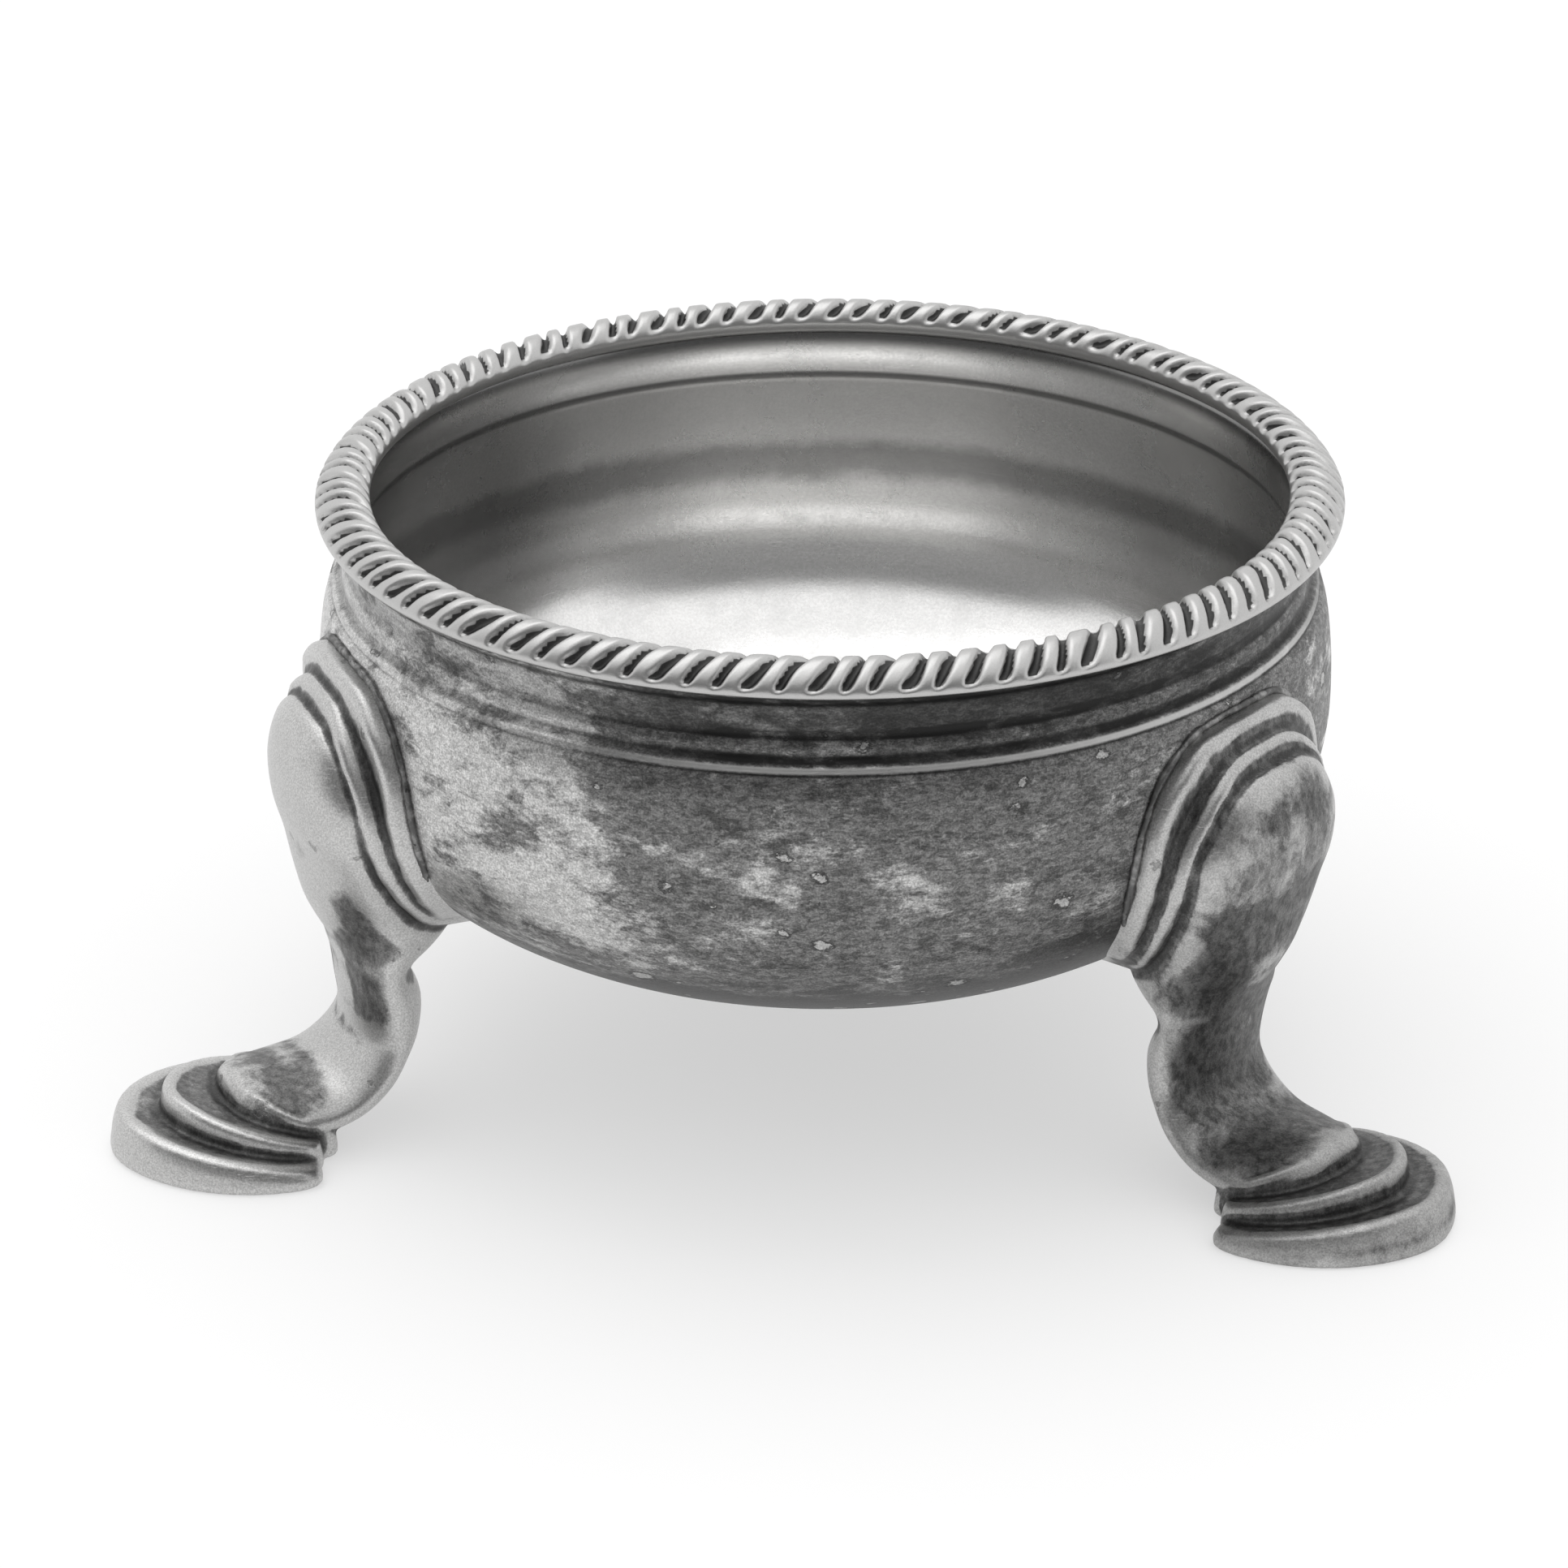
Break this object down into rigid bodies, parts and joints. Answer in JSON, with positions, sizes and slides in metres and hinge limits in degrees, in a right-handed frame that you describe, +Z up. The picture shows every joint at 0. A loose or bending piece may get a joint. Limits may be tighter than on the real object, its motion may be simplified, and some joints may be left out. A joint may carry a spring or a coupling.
{
  "type": "salt cellar",
  "caption": "Open table salt of tarnished silver: a round bowl with a gadrooned border, standing on cast legs with hoof feet.",
  "frame": {"origin": "on the bowl's axis, in the plane that the three hooves stand on", "axes": "+Z up along the bowl's axis, +Y towards the back leg, +X to the right seen from the front"},
  "size_m": [0.0866, 0.0813, 0.0399],
  "materials": {
    "tarnished_silver": "silver, dark mottled tarnish outside, satin and brighter inside",
    "border_silver": "silver, worn bright on the lobes, dark in the grooves",
    "cast_silver": "cast silver, soft shine, dark in the hollows",
    "silver_solder": "pitted silver solder, dull grey"
  },
  "bodies": {
    "root": {"bowl": "tarnished_silver", "gadrooned_border": "border_silver", "border_solder_seam": "silver_solder", "leg_back": "cast_silver", "leg_front_left": "cast_silver", "leg_front_right": "cast_silver", "leg_back_solder": "silver_solder", "leg_front_left_solder": "silver_solder", "leg_front_right_solder": "silver_solder"}
  },
  "joints": []
}
